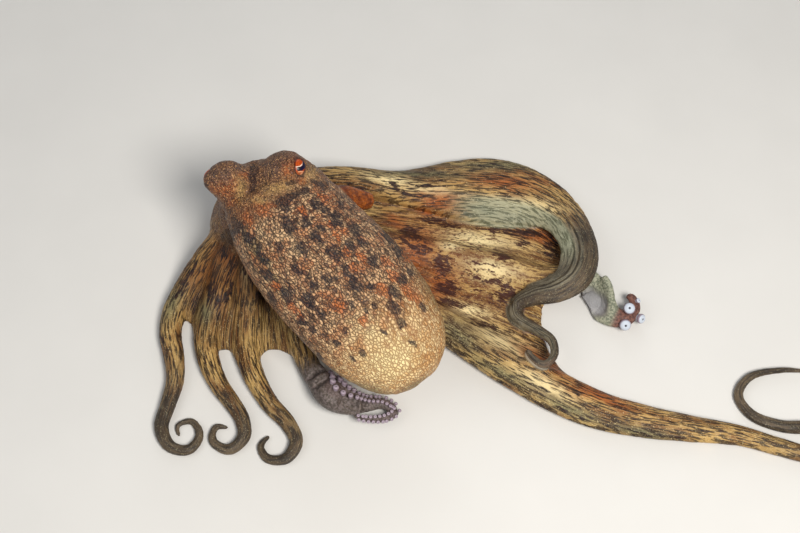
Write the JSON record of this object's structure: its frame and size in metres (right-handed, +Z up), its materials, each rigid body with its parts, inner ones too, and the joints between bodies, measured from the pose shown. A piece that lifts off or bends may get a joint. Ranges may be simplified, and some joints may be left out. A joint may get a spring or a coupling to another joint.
{
  "type": "common octopus figure",
  "caption": "Still life-size common octopus crawling: domed mantle laid back, head with raised eyes, webbed arms spread and curled on the floor.",
  "frame": {"origin": "on the floor under the centre of the arm crown", "axes": "+Z up from the floor; +X the way the long right arms reach; +Y the way the head looks, away from the mantle's rear end"},
  "size_m": [0.4483, 0.2386, 0.112],
  "materials": {
    "skin": "satin",
    "eye": "gloss"
  },
  "bodies": {
    "root": {"arm_L1_1": "skin", "arm_L1_2": "skin", "arm_L2_1": "skin", "arm_L2_2": "skin", "arm_L3_1": "skin", "arm_L3_2": "skin", "arm_L4_1": "skin", "arm_L4_2": "skin", "arm_L4_3": "skin", "arm_R1_1": "skin", "arm_R1_2": "skin", "arm_R1_3": "skin", "arm_R1_4": "skin", "arm_R2_1": "skin", "arm_R2_2": "skin", "arm_R2_3": "skin", "arm_R3_1": "skin", "arm_R3_2": "skin", "arm_R3_3": "skin", "arm_R3_4": "skin", "arm_R3_5": "skin", "arm_R4_1": "skin", "arm_R4_2": "skin", "crown": "skin", "eye_left": "eye", "eye_right": "eye", "head": "skin", "mantle": "skin", "siphon": "skin", "web_L1_R1": "skin", "web_L2_L1": "skin", "web_L3_L2": "skin", "web_L4_L3": "skin", "web_R1_R2": "skin", "web_R2_R3": "skin", "web_R3_R4": "skin", "web_R4_L4": "skin"}
  },
  "joints": []
}
